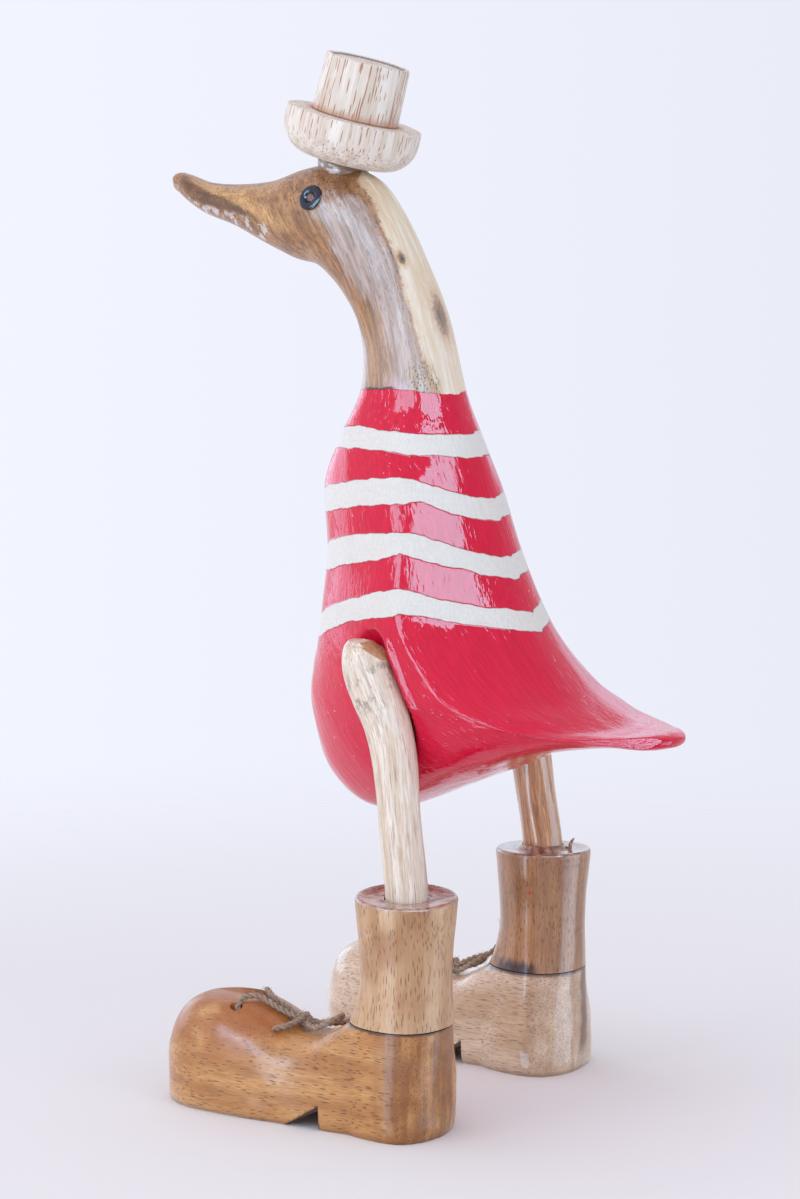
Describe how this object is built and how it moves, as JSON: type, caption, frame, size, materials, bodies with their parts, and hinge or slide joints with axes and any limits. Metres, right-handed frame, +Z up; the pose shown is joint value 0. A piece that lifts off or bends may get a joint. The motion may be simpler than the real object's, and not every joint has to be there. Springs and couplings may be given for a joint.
{
  "type": "carved wooden duck",
  "caption": "Slim upright carved duck with a painted striped shirt, a small turned hat, bent stick legs and chunky laced wooden boots, standing on its soles.",
  "frame": {"origin": "on the floor, under the middle of the whole figure's box", "axes": "+Z up; the duck looks along -Y, its left side is +X, its tail points along +Y"},
  "size_m": [0.155, 0.2306, 0.4055],
  "materials": {
    "painted_shirt": "carved wood, glossy red paint with white stripes below, bare varnished wood above",
    "turned_wood": "pale turned wood, satin",
    "hot_glue": "set hot glue, cloudy and shiny",
    "stick_wood": "peeled stick, satin varnish",
    "shaft_wood": "light tan wood, gloss varnish",
    "boot_wood": "brown wood, gloss varnish",
    "twine": "twisted jute twine, rough"
  },
  "bodies": {
    "root": {"duck_body": "painted_shirt", "hat": "turned_wood", "hat_glue": "hot_glue", "leg_left": "stick_wood", "leg_right": "stick_wood", "boot_shaft_left": "shaft_wood", "boot_shaft_right": "shaft_wood", "boot_foot_left": "boot_wood", "boot_foot_right": "boot_wood", "lace_left": "twine", "lace_right": "twine"}
  },
  "joints": []
}
